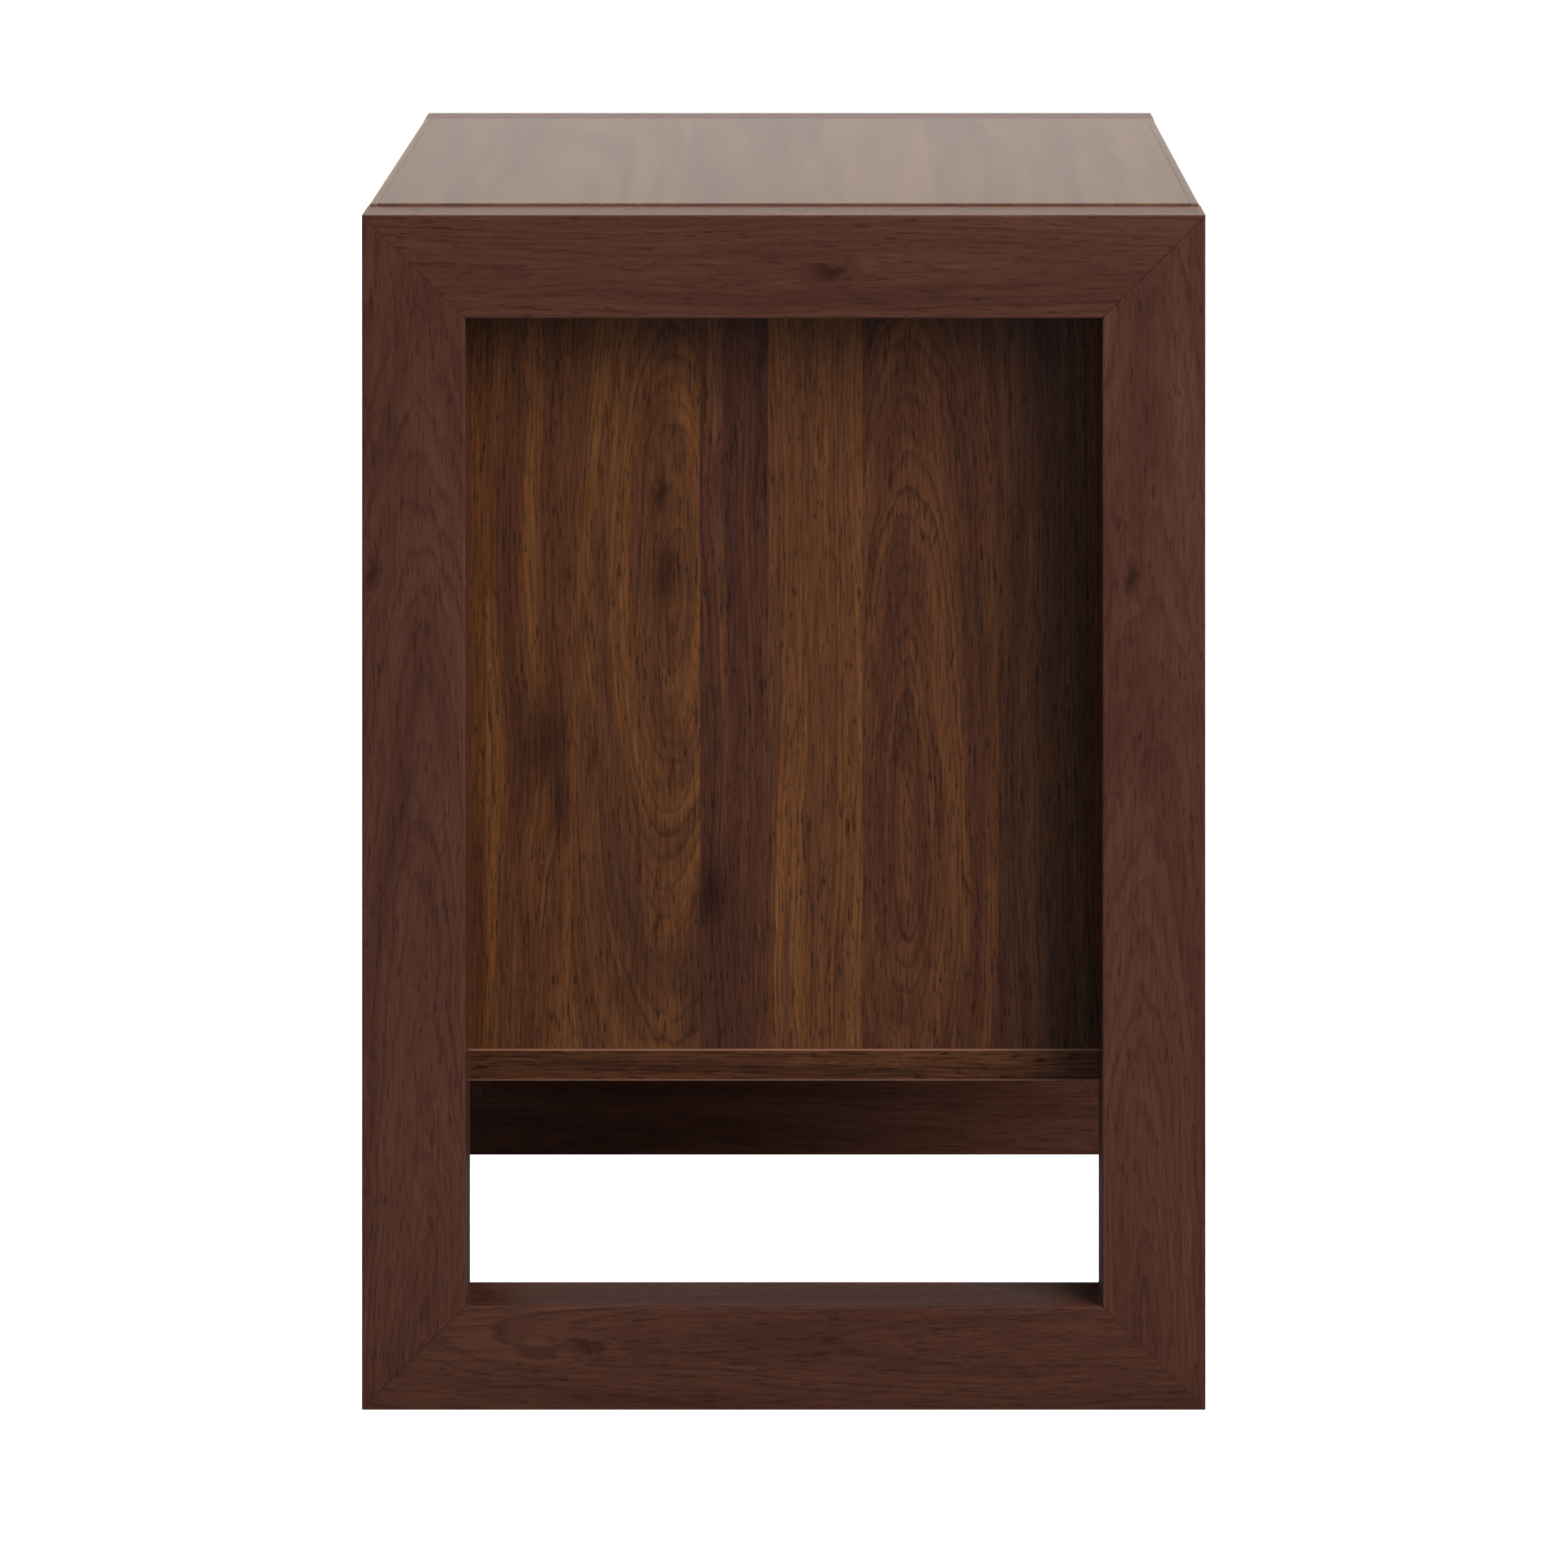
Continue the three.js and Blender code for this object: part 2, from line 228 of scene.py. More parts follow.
def makeKnotGroup(shape):
    tree, into, out = makeGroup(
        "knot",
        [("Vector", "V", (0, 0, 0)), ("Centre", "V", (0, 0, 0)),
         ("Size", "F", 0.01), ("Push", "F", 0.004), ("Strength", "F", 1)],
        [("Swirl", "F"), ("Mask", "F")])
    away = vec(tree, "SUBTRACT", into["Vector"], into["Centre"])
    waver = noise(tree, away, shape["raggedSize"], 3, 0.6, "Color")
    waver = vec(tree, "SUBTRACT", waver, (0.5, 0.5, 0.5))
    away = vec(tree, "ADD", away, vec(tree, "SCALE", waver, None, None, shape["ragged"]))
    away = vec(tree, "MULTIPLY", away, shape["stretch"])
    apart = calc(tree, "DIVIDE", vec(tree, "LENGTH", away), into["Size"])
    squared = calc(tree, "MULTIPLY", apart, apart)
    near = calc(tree, "EXPONENT", calc(tree, "MULTIPLY", squared, -shape["bendFades"]))
    core = calc(tree, "EXPONENT", calc(tree, "MULTIPLY", squared, -shape["coreFades"]))
    tree.links.new(calc(tree, "MULTIPLY", near, into["Push"]), out["Swirl"])
    tree.links.new(calc(tree, "MULTIPLY", core, into["Strength"]), out["Mask"])
    return tree


def makeFigureGroup(shape):
    tree, into, out = makeGroup(
        "walnutFigure",
        [("Vector", "V", (0, 0, 0)), ("Seed", "F", 0), ("Heart", "F", 0), ("Depth", "F", 0.05),
         ("Taper", "F", 0.05), ("Swirl", "F", 0), ("Ring Width", "F", 0.003),
         ("Wander", "F", 0.008)],
        [("Ring", "F"), ("Streak", "F"), ("Fibre", "F"), ("Pore", "F")])
    seed = calc(tree, "MULTIPLY", into["Seed"], shape["seedStep"])
    seedAside = calc(tree, "MULTIPLY", seed, shape["seedAside"])
    shift = put(tree, "CombineXYZ", (seed, seedAside, seed)).outputs[0]
    place = vec(tree, "ADD", into["Vector"], shift)

    # the log's slow bends, then how far each point is from its heart
    slow = noise(tree, vec(tree, "MULTIPLY", place, shape["bendSize"]), 1, 3, 0.55, "Color")
    slow = vec(tree, "SUBTRACT", slow, (0.5, 0.5, 0.5))
    bend = vec(tree, "SCALE", slow, None, None, into["Wander"])
    bent = put(tree, "SeparateXYZ", (vec(tree, "ADD", into["Vector"], bend),)).outputs
    across = calc(tree, "SUBTRACT", bent[0], into["Heart"])
    drop = calc(tree, "MULTIPLY_ADD", bent[2], into["Taper"], into["Depth"])
    through = calc(tree, "ADD", bent[1], drop)
    flat = put(tree, "CombineXYZ", (across, through, 0.0)).outputs[0]
    radius = calc(tree, "ADD", vec(tree, "LENGTH", flat), into["Swirl"])

    # growth rings: a slow darkening, then a sharp late line, of uneven strength
    jitter = noise(tree, vec(tree, "MULTIPLY", place, shape["jitterSize"]), 1, 2)
    count = calc(tree, "ADD", calc(tree, "DIVIDE", radius, into["Ring Width"]),
                 calc(tree, "MULTIPLY_ADD", jitter, shape["jitter"], seed))
    late = ramp(tree, calc(tree, "FRACT", count), shape["lateWood"], "EASE").outputs[0]
    step = calc(tree, "MULTIPLY", count, shape["unevenStep"])
    uneven = noise(tree, put(tree, "CombineXYZ", (step, 0.0, 0.0)).outputs[0], 1, 2)
    ring = calc(tree, "MULTIPLY", late, spread(tree, uneven, *shape["unevenRange"]))
    tree.links.new(ring, out["Ring"])

    # broad colour streaks, which follow the rings but not closely
    outward, sideways, along = shape["streakSize"]
    wide = put(tree, "CombineXYZ", (calc(tree, "MULTIPLY", radius, outward),
                                    calc(tree, "MULTIPLY_ADD", across, sideways, seed),
                                    calc(tree, "MULTIPLY", bent[2], along))).outputs[0]
    streak = noise(tree, wide, 1, 5, 0.6)
    tree.links.new(spread(tree, streak, *shape["streakRange"]), out["Streak"])

    # long fine fibre lines and short open pores
    swayed = vec(tree, "ADD", place, vec(tree, "SCALE", bend, None, None, shape["sway"]))
    fine = noise(tree, vec(tree, "MULTIPLY", swayed, shape["fibreSize"]), 1, 4, 0.68)
    tree.links.new(spread(tree, fine, *shape["fibreRange"]), out["Fibre"])
    dash = noise(tree, vec(tree, "MULTIPLY", swayed, shape["poreSize"]), 1, 2, 0.5)
    tree.links.new(spread(tree, dash, *shape["poreRange"], soft=True), out["Pore"])
    return tree


def makeStainGroup(shape):
    tree, into, out = makeGroup(
        "walnutStain",
        [("Ring", "F", 0), ("Streak", "F", 0.5), ("Fibre", "F", 0.5), ("Pore", "F", 0),
         ("Knot", "F", 0), ("Deep", "C", (0, 0, 0, 1)), ("Middle", "C", (0, 0, 0, 1)),
         ("Pale", "C", (0, 0, 0, 1)), ("Ring Strength", "F", 0.4), ("Fibre Strength", "F", 0.3),
         ("Pore Strength", "F", 0.4), ("Gloss", "F", 0.4), ("Gloss Swing", "F", 1)],
        [("Color", "C"), ("Roughness", "F"), ("Height", "F")])
    lower = mix(tree, spread(tree, into["Streak"], 0, 0.5), into["Deep"], into["Middle"])
    colour = mix(tree, spread(tree, into["Streak"], 0.5, 1), lower, into["Pale"])
    shade = mix(tree, 1.0, into["Deep"], shape["lateWood"], "MULTIPLY")
    dark = mix(tree, shape["lateShare"], colour, shade)
    late = calc(tree, "MULTIPLY", into["Ring"], into["Ring Strength"])
    colour = mix(tree, late, colour, dark)
    swing = calc(tree, "SUBTRACT", into["Fibre"], 0.5)
    lift = calc(tree, "MULTIPLY_ADD", swing, into["Fibre Strength"], 1.0)
    colour = vec(tree, "SCALE", colour, None, None, lift)
    hollow = calc(tree, "MULTIPLY", into["Pore"], into["Pore Strength"])
    colour = mix(tree, hollow, colour, mix(tree, 1.0, into["Deep"], shape["pore"], "MULTIPLY"))
    heartwood = mix(tree, 1.0, into["Deep"], shape["knot"], "MULTIPLY")
    knot = calc(tree, "MULTIPLY", into["Knot"], 1.0, clamp=True)   # kept within 0 and 1
    colour = mix(tree, knot, colour, heartwood)
    tree.links.new(colour, out["Color"])
    uneven = calc(tree, "MULTIPLY_ADD", swing, shape["fibreRough"],
                  calc(tree, "MULTIPLY", hollow, shape["poreRough"]))
    rough = calc(tree, "MULTIPLY_ADD", uneven, into["Gloss Swing"], into["Gloss"])
    tree.links.new(rough, out["Roughness"])
    height = calc(tree, "MULTIPLY_ADD", into["Pore"], -1.0,
                  calc(tree, "MULTIPLY", swing, shape["fibreHeight"]))
    height = calc(tree, "MULTIPLY_ADD", into["Ring"], shape["ringHeight"], height)
    tree.links.new(height, out["Height"])
    return tree


def makeEdgeGroup():
    # painted highlight along a box's edges; on a box, an edge is where two of its faces are near
    tree, into, out = makeGroup(
        "paintedEdgeHighlight",
        [("Vector", "V", (0, 0, 0)), ("Centre", "V", (0, 0, 0)),
         ("Half Size", "V", (0.1, 0.1, 0.1)), ("Width", "F", 0.001), ("Strength", "F", 1)],
        [("Mask", "F")])
    away = vec(tree, "ABSOLUTE", vec(tree, "SUBTRACT", into["Vector"], into["Centre"]))
    inset = put(tree, "SeparateXYZ", (vec(tree, "SUBTRACT", into["Half Size"], away),)).outputs
    full = calc(tree, "MULTIPLY", into["Width"], 0.4)   # fully painted this close to the edge
    near = [spread(tree, inset[i], full, into["Width"], 1, 0) for i in range(3)]
    both = calc(tree, "ADD", calc(tree, "ADD", near[0], near[1]), near[2])
    mask = calc(tree, "SUBTRACT", both, 1.0, clamp=True)
    tree.links.new(calc(tree, "MULTIPLY", mask, into["Strength"]), out["Mask"])
    return tree


knotGroup = makeKnotGroup(knotShape)
edgeGroup = makeEdgeGroup()
figureGroup = makeFigureGroup(figureShape)
stainGroup = makeStainGroup(stainShape)
print("wood groups made")

# which way the grain runs: turns about X, Y and Z from upright
grainTurns = {
    "up": (0, 0, 0),
    "upSideways": (0, 0, math.pi / 2),
    "alongX": (0, math.pi / 2, 0),
    "alongY": (-math.pi / 2, 0, 0),
    "rising": (0, math.pi / 4, 0),
    "falling": (0, -math.pi / 4, 0),
}


def newMaterial(name):
    material = bpy.data.materials.new(name)
    material.use_nodes = True
    tree = material.node_tree
    shader = tree.nodes["Principled BSDF"]
    return material, tree, shader


def localPlace(tree, centre, grain):
    coords = put(tree, "TexCoord").outputs["Object"]
    values = {"Vector": coords, "Location": centre, "Rotation": grainTurns[grain]}
    return put(tree, "Mapping", values, vector_type="TEXTURE").outputs[0]


def addKnots(tree, place, centre, grain, knots):
    # each knot: a point in the unit's own frame, its size, its push on the rings, its darkness
    unturn = Euler(grainTurns[grain]).to_matrix().inverted()
    swirl, mask = None, None
    for at, size, push, strength in knots:
        made = useGroup(tree, knotGroup, {
            "Vector": place, "Centre": unturn @ (Vector(at) - Vector(centre)), "Size": size,
            "Push": push, "Strength": strength})
        swirl = made["Swirl"] if swirl is None else calc(tree, "ADD", swirl, made["Swirl"])
        mask = made["Mask"] if mask is None else calc(tree, "MAXIMUM", mask, made["Mask"])
    return swirl, mask


def finishWood(tree, shader, figure, stain, mask, tint=None, edgeHighlight=None):
    values = {
        "Ring": figure["Ring"], "Streak": figure["Streak"], "Fibre": figure["Fibre"],
        "Pore": figure["Pore"], "Deep": stain["deep"], "Middle": stain["middle"],
        "Pale": stain["pale"], "Ring Strength": stain["ring"], "Fibre Strength": stain["fibre"],
        "Pore Strength": stain["pore"], "Gloss": stain["gloss"], "Gloss Swing": stain["swing"],
    }
    if mask is not None:
        values["Knot"] = mask
    made = useGroup(tree, stainGroup, values)
    colour = made["Color"]
    if tint is not None:
        colour = mix(tree, 1.0, colour, tint, "MULTIPLY")
    if edgeHighlight is not None:
        colour = mix(tree, edgeHighlight, colour, stain["edgeHighlight"])   # painted highlight, paler along its edges
    tree.links.new(colour, shader.inputs["Base Color"])
    tree.links.new(made["Roughness"], shader.inputs["Roughness"])
    bump = put(tree, "Bump", {"Strength": stain["relief"], "Distance": stainShape["depth"],
                              "Height": made["Height"]})
    tree.links.new(bump.outputs[0], shader.inputs["Normal"])
    shader.inputs["Specular IOR Level"].default_value = stain["shine"]


def solidWood(name, centre, grain, stain, log, knots=(), box=None):
    material, tree, shader = newMaterial(name)
    place = localPlace(tree, centre, grain)
    swirl, mask = addKnots(tree, place, centre, grain, knots)
    values = {"Vector": place, "Seed": log["seed"], "Heart": log["heart"], "Depth": log["depth"],
              "Taper": log["taper"], "Ring Width": log["ring"], "Wander": log["wander"]}
    if swirl is not None:
        values["Swirl"] = swirl
    figure = useGroup(tree, figureGroup, values)
    # a pale band painted along the box's edges as a highlight
    edgeHighlight = None
    if box is not None:
        low, high = box
        coords = put(tree, "TexCoord").outputs["Object"]
        edgeHighlight = useGroup(tree, edgeGroup, {
            "Vector": coords, "Centre": (low + high) / 2, "Half Size": (high - low) / 2,
            "Width": stain["edgeHighlightWidth"], "Strength": stain["edgeHighlightStrength"]})["Mask"]
    finishWood(tree, shader, figure, stain, mask, edgeHighlight=edgeHighlight)
    return material


def plankedWalnut(name, centre, grain, stain, staves, knots=()):
    # each stave: width, heart, depth, taper of its log, and a tint; a ramp holds no negative
    # values, so half is added to a stave's figures and taken off again after it
    half, seedStep = 0.5, 0.1
    material, tree, shader = newMaterial(name)
    place = localPlace(tree, centre, grain)
    swirl, mask = addKnots(tree, place, centre, grain, knots)
    total = sum(stave[0] for stave in staves)
    across = put(tree, "SeparateXYZ", (place,)).outputs[0]
    share = calc(tree, "MULTIPLY_ADD", across, 1 / total, half)
    logStops, tintStops, start = [], [], 0.0
    for i, (width, heart, depth, taper, tint) in enumerate(staves):
        figures = (heart + half, depth + half, taper + half, (i + 1) * seedStep)
        logStops.append((start, figures))
        tintStops.append((start, tint))
        start += width / total
    logRamp = ramp(tree, share, logStops, "CONSTANT")
    tintRamp = ramp(tree, share, tintStops, "CONSTANT")
    parts = put(tree, "SeparateColor", (logRamp.outputs[0],)).outputs
    values = {"Vector": place, "Seed": calc(tree, "MULTIPLY", logRamp.outputs[1], stain["seed"]),
              "Heart": calc(tree, "SUBTRACT", parts[0], half),
              "Depth": calc(tree, "SUBTRACT", parts[1], half),
              "Taper": calc(tree, "SUBTRACT", parts[2], half),
              "Ring Width": stain["ringWidth"], "Wander": stain["wander"]}
    if swirl is not None:
        values["Swirl"] = swirl
    figure = useGroup(tree, figureGroup, values)
    finishWood(tree, shader, figure, stain, mask, tintRamp.outputs[0])
    return material


easing = {
    "edge": 0.001,
    "strip": 0.0012,
    # shares of the edge's easing
    "joint": 0.12,       # where two pieces are glued
    "rim": 0.2,          # around a drilled hole or a groove
    "boardEnds": 0.9,    # where the top and the shelf meet the end frames
    "panelFoot": 0.35,   # under the end panels
}
meshLimits = {
    "sameFlat": 1,       # degrees between faces that are one flat
    "arris": 40,         # and from where an edge is eased
    "sharp": 32,         # and shaded sharp
    "merge": 1e-6,
    "onBox": 1e-5,       # this near a side of the box is on it
}


def newPiece(name, bm, material, smooth=True):
    mesh = bpy.data.meshes.new(name)
    bmesh.ops.recalc_face_normals(bm, faces=bm.faces)
    bm.to_mesh(mesh)
    bm.free()
    piece = bpy.data.objects.new(name, mesh)
    scene.collection.objects.link(piece)
    mesh.materials.append(material)
    if smooth:
        mesh.shade_smooth()
        mesh.set_sharp_from_angle(angle=math.radians(meshLimits["sharp"]))
    return piece


def install(piece, node, body):
    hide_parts(node)
    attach(piece, body)


def bodyOf(node):
    for body, members in frame["record"]["behaviour"]["bodies"].items():
        if node in members:
            return body


def boxMesh(low, high):
    bm = bmesh.new()
    bmesh.ops.create_cube(bm, size=1)
    bmesh.ops.scale(bm, vec=high - low, verts=bm.verts)
    bmesh.ops.translate(bm, vec=(low + high) / 2, verts=bm.verts)
    return bm


def easeEdges(bm, edges, width, segments):
    bmesh.ops.bevel(bm, geom=list(edges), offset=width, segments=segments, profile=0.5,
                    affect="EDGES", clamp_overlap=True, material=-1)


def stripPiece(node, material):
    low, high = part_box(node)
    bm = boxMesh(low, high)
    marks = bm.edges.layers.float.new("bevel_weight_edge")
    for e in bm.edges:
        e[marks] = 1
    piece = newPiece(node + "_piece", bm, material, smooth=False)
    addBevel(piece, easing["strip"], rounded=False)
    install(piece, node, bodyOf(node))


def addBevel(piece, width, rounded=True):
    # rounded over, or sanded in two narrow flats
    bevel = piece.modifiers.new("easedEdges", "BEVEL")
    bevel.width = width
    bevel.segments = 3 if rounded else 2
    bevel.limit_method = "WEIGHT"
    bevel.use_clamp_overlap = True
    bevel.harden_normals = rounded


def onSide(point, low, high, axis):
    return min(point[axis] - low[axis], high[axis] - point[axis]) < meshLimits["onBox"]


def drilledBoard(node, material, arris, rim=easing["rim"], rounded=True):
    # an eased copy of a board, its holes and grooves kept; arris(edge middle, low, high) gives
    # how much of the full easing an outer edge has, rim what all its other edges have
    low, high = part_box(node)
    bm = bmesh.new()
    bm.from_mesh(nodes[node].data)
    bmesh.ops.remove_doubles(bm, verts=bm.verts, dist=meshLimits["merge"])
    flat = math.radians(meshLimits["sameFlat"])
    bmesh.ops.dissolve_limit(bm, angle_limit=flat, verts=bm.verts, edges=bm.edges)
    marks = bm.edges.layers.float.new("bevel_weight_edge")
    for e in bm.edges:
        if e.calc_face_angle(0) < math.radians(meshLimits["arris"]):
            continue
        middle = (e.verts[0].co + e.verts[1].co) / 2
        sides = sum(onSide(middle, low, high, i) for i in range(3))
        e[marks] = arris(middle, low, high) if sides > 1 else rim
    piece = newPiece(node + "_piece", bm, material, smooth=rounded)
    addBevel(piece, easing["edge"], rounded)
    install(piece, node, bodyOf(node))


# each stain: three colours of the wood, strengths of its markings, then its surface; on some, a pale
# colour painted along the edges as a highlight
frameStain = {
    "deep": srgb(66, 38, 30), "middle": srgb(81, 49, 38), "pale": srgb(91, 57, 45),
    "ring": 0.8, "fibre": 0.45, "pore": 0.5, "gloss": 0.24, "swing": 0.5, "shine": 0.2,
    "relief": 0.1,
}
panelStain = {
    "deep": srgb(60, 36, 29), "middle": srgb(85, 50, 30), "pale": srgb(112, 71, 38),
    "ring": 0.95, "fibre": 0.78, "pore": 0.7, "gloss": 0.3, "swing": 1, "shine": 0.2,
    "relief": 0.35, "ringWidth": 0.0026, "wander": 0.014, "seed": 3.7,
}
topStain = {
    "deep": srgb(68, 42, 30), "middle": srgb(86, 57, 38), "pale": srgb(100, 69, 45),
    "ring": 0.4, "fibre": 0.3, "pore": 0.3, "gloss": 0.22, "swing": 0.1, "shine": 0.3,
    "relief": 0.01, "ringWidth": 0.0026, "wander": 0.014, "seed": 2.2,
    # painted highlight along the lipping's edges: its colour, width and strength
    "edgeHighlight": srgb(150, 112, 86), "edgeHighlightWidth": 0.0012, "edgeHighlightStrength": 0.3,
}
lippingStain = {
    "deep": srgb(50, 26, 15), "middle": srgb(81, 46, 25), "pale": srgb(100, 60, 33),
    "ring": 1, "fibre": 1.2, "pore": 0.8, "gloss": 0.3, "swing": 1, "shine": 0.35,
    # painted highlight along the lipping's edges: its colour, width and strength
    "relief": 0.35, "edgeHighlight": srgb(158, 110, 86), "edgeHighlightWidth": 0.0015, "edgeHighlightStrength": 0.75,
}


endFrames = {
    "mitreShare": 0.12,      # of the easing, where the members meet and at their holes
    # seed, heart, depth and taper of the log each member is sawn from
    "logs": {
        "near_frame_top_rail": (1, 0.004, 0.040, 0.03),
        "near_frame_bottom_rail": (2, -0.010, 0.044, -0.06),
        "near_frame_left_stile": (3, 0.004, 0.057, 0.11),
        "near_frame_right_stile": (4, -0.003, 0.055, 0.10),
        "far_frame_top_rail": (5, 0.010, 0.040, 0.04),
        "far_frame_bottom_rail": (6, 0.020, 0.050, 0.04),
        "far_frame_left_stile": (7, -0.010, 0.035, 0.05),
        "far_frame_right_stile": (8, 0.002, 0.028, -0.05),
    },
    "ring": 0.0034,
    "wander": 0.022,
    # place, size, push on the rings and darkness of the small knots
    "knots": {
        "near_frame_top_rail": [((0.025, -0.3015, 0.616), 0.0035, 0.006, 0.8)],
        "near_frame_bottom_rail": [((-0.106, -0.3015, 0.034), 0.0035, 0.005, 0.7)],
        "near_frame_left_stile": [((-0.222, -0.3015, 0.454), 0.0032, 0.006, 0.8)],
        "near_frame_right_stile": [((0.189, -0.3015, 0.451), 0.0032, 0.006, 0.8)],
        "far_frame_left_stile": [((-0.198, 0.3015, 0.22), 0.0035, 0.006, 0.8)],
    },
}


def longEdges(middle, low, high):
    # eased along the grain, crisp across the tips of the mitres
    return 1 if onSide(middle, low, high, 1) else endFrames["mitreShare"]


def memberPiece(node):
    low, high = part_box(node)
    size = high - low
    grain = "alongX" if size.x > size.z else "up"
    seed, heart, depth, taper = endFrames["logs"][node]
    log = {"seed": seed, "heart": heart, "depth": depth, "taper": taper,
           "ring": endFrames["ring"], "wander": endFrames["wander"]}
    material = solidWood(node + "_walnut", (low + high) / 2, grain, frameStain, log,
                         endFrames["knots"].get(node, ()))
    drilledBoard(node, material, longEdges, endFrames["mitreShare"], rounded=False)


for end in ("near", "far"):
    for member in ("top_rail", "bottom_rail", "left_stile", "right_stile"):
        memberPiece(f"{end}_frame_{member}")
print("end frames made")


caseBoards = {
    # width, heart, depth, taper and tint of the staves in each end panel, from the left
    "nearStaves": [
        (0.0475, -0.10, 0.060, 0.02, (0.98, 0.93, 0.9)),
        # painted bounce light: a narrow golden stave where the panel shows beside the left stile
        (0.0165, -0.10, 0.055, 0.03, (1.16, 1.08, 0.78)),
        (0.0464, -0.09, 0.050, 0.03, (1.02, 0.97, 0.9)),
        (0.0704, -0.061, 0.002, 0.20, (1.14, 1.14, 1.02)),
        (0.0378, -0.11, 0.070, 0.02, (0.80, 0.78, 1.0)),
        (0.0504, 0.10, 0.060, 0.01, (1.28, 1.28, 1.15)),
        (0.0753, 0.068, -0.0078, -0.16, (0.88, 0.85, 0.95)),
        (0.0700, 0.04, 0.060, 0.02, (0.72, 0.75, 0.92)),
        (0.0417, 0.12, 0.060, 0.03, (0.85, 0.83, 0.9)),
    ],
    "nearKnots": [
        ((-0.065, -0.2515, 0.446), 0.0085, 0.006, 0.7),
        ((-0.067, -0.2515, 0.490), 0.0036, 0.003, 0.9),
        ((-0.132, -0.2515, 0.352), 0.0140, 0.006, 0.65),
        ((-0.122, -0.2515, 0.318), 0.0090, 0.002, 0.5),
        ((-0.104, -0.2515, 0.346), 0.0040, 0.002, 0.5),
        ((-0.040, -0.2515, 0.270), 0.0100, 0.002, 0.7),
    ],
    "farStaves": [
        (0.060, -0.10, 0.060, 0.02, (0.95, 0.93, 0.95)),
        (0.052, -0.05, 0.010, 0.10, (1.05, 1.02, 1.0)),
        (0.074, -0.08, 0.070, 0.02, (0.88, 0.86, 0.95)),
        (0.045, 0.10, 0.060, 0.01, (1.15, 1.15, 1.08)),
        (0.066, 0.03, -0.010, -0.12, (0.98, 0.95, 1.02)),
        (0.058, 0.04, 0.060, 0.02, (1.1, 1.08, 1.05)),
        (0.101, 0.12, 0.060, 0.03, (0.85, 0.85, 0.9)),
    ],
    "topStaves": [
        (0.075, -0.10, 0.060, 0.02, (0.95, 0.93, 0.95)),
        (0.088, -0.12, 0.030, 0.08, (1.04, 1.02, 1.0)),
        (0.080, -0.05, 0.070, 0.02, (0.92, 0.9, 0.95)),
        (0.062, 0.12, 0.060, 0.01, (1.1, 1.1, 1.05)),
        (0.083, 0.06, 0.010, -0.09, (0.98, 0.95, 1.0)),
        (0.058, 0.04, 0.060, 0.02, (1.06, 1.05, 1.02)),
    ],
}


def middleOf(node):
    low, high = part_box(node)
    return (low + high) / 2


def panelMiddle(node):
    # on the unit's own middle, from which both end panels' staves are counted
    middle = middleOf(node)
    return Vector((0, middle.y, middle.z))


nearPanelWalnut = plankedWalnut("nearPanelWalnut", panelMiddle("near_end_panel"), "up",
                                panelStain, caseBoards["nearStaves"], caseBoards["nearKnots"])
farPanelWalnut = plankedWalnut("farPanelWalnut", panelMiddle("far_end_panel"), "up",
                               dict(panelStain, seed=5.1), caseBoards["farStaves"])
backWalnut = plankedWalnut("backWalnut", middleOf("back_panel"), "upSideways",
                           dict(panelStain, seed=8.3), caseBoards["farStaves"])
bottomWalnut = plankedWalnut("bottomWalnut", middleOf("case_bottom_board"), "alongY",
                             dict(panelStain, seed=9.9), caseBoards["topStaves"])
topWalnut = plankedWalnut("topWalnut", middleOf("case_top_board"), "alongY",
                          topStain, caseBoards["topStaves"])
shelfWalnut = plankedWalnut("shelfWalnut", middleOf("adjustable_shelf"), "alongY",
                            dict(panelStain, seed=6.4), caseBoards["topStaves"])


def glued(middle, low, high):
    return easing["joint"]


def endsFree(middle, low, high):
    # eased where the board meets the end frames, crisp along its lippings
    return easing["boardEnds"] if onSide(middle, low, high, 1) else easing["joint"]


def lowEdgeFree(middle, low, high):
    atFoot = middle.z - low.z < meshLimits["onBox"]
    return easing["panelFoot"] if atFoot else easing["joint"]


drilledBoard("near_end_panel", nearPanelWalnut, lowEdgeFree)
drilledBoard("far_end_panel", farPanelWalnut, lowEdgeFree)
drilledBoard("back_panel", backWalnut, glued)
drilledBoard("case_bottom_board", bottomWalnut, glued)
drilledBoard("case_top_board", topWalnut, endsFree)
drilledBoard("adjustable_shelf", shelfWalnut, endsFree)

# grain and seed of each
lippings = {
    "top_front_lipping": ("alongY", 11), "top_rear_lipping": ("alongY", 12),
    "bottom_front_lipping": ("alongY", 13), "bottom_near_lipping": ("alongX", 14),
    "bottom_far_lipping": ("alongX", 15), "near_panel_front_lipping": ("up", 16),
    "far_panel_front_lipping": ("up", 17), "shelf_front_lipping": ("alongY", 18),
}
lippingLog = {"heart": 0.03, "depth": 0.02, "taper": 0.02, "ring": 0.0022, "wander": 0.006}
for node, (grain, seed) in lippings.items():
    log = dict(lippingLog, seed=seed)
    stain = topStain if node.startswith("top") else lippingStain
    strip = solidWood(node + "_walnut", middleOf(node), grain, stain, log, box=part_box(node))
    stripPiece(node, strip)
print("case boards made")


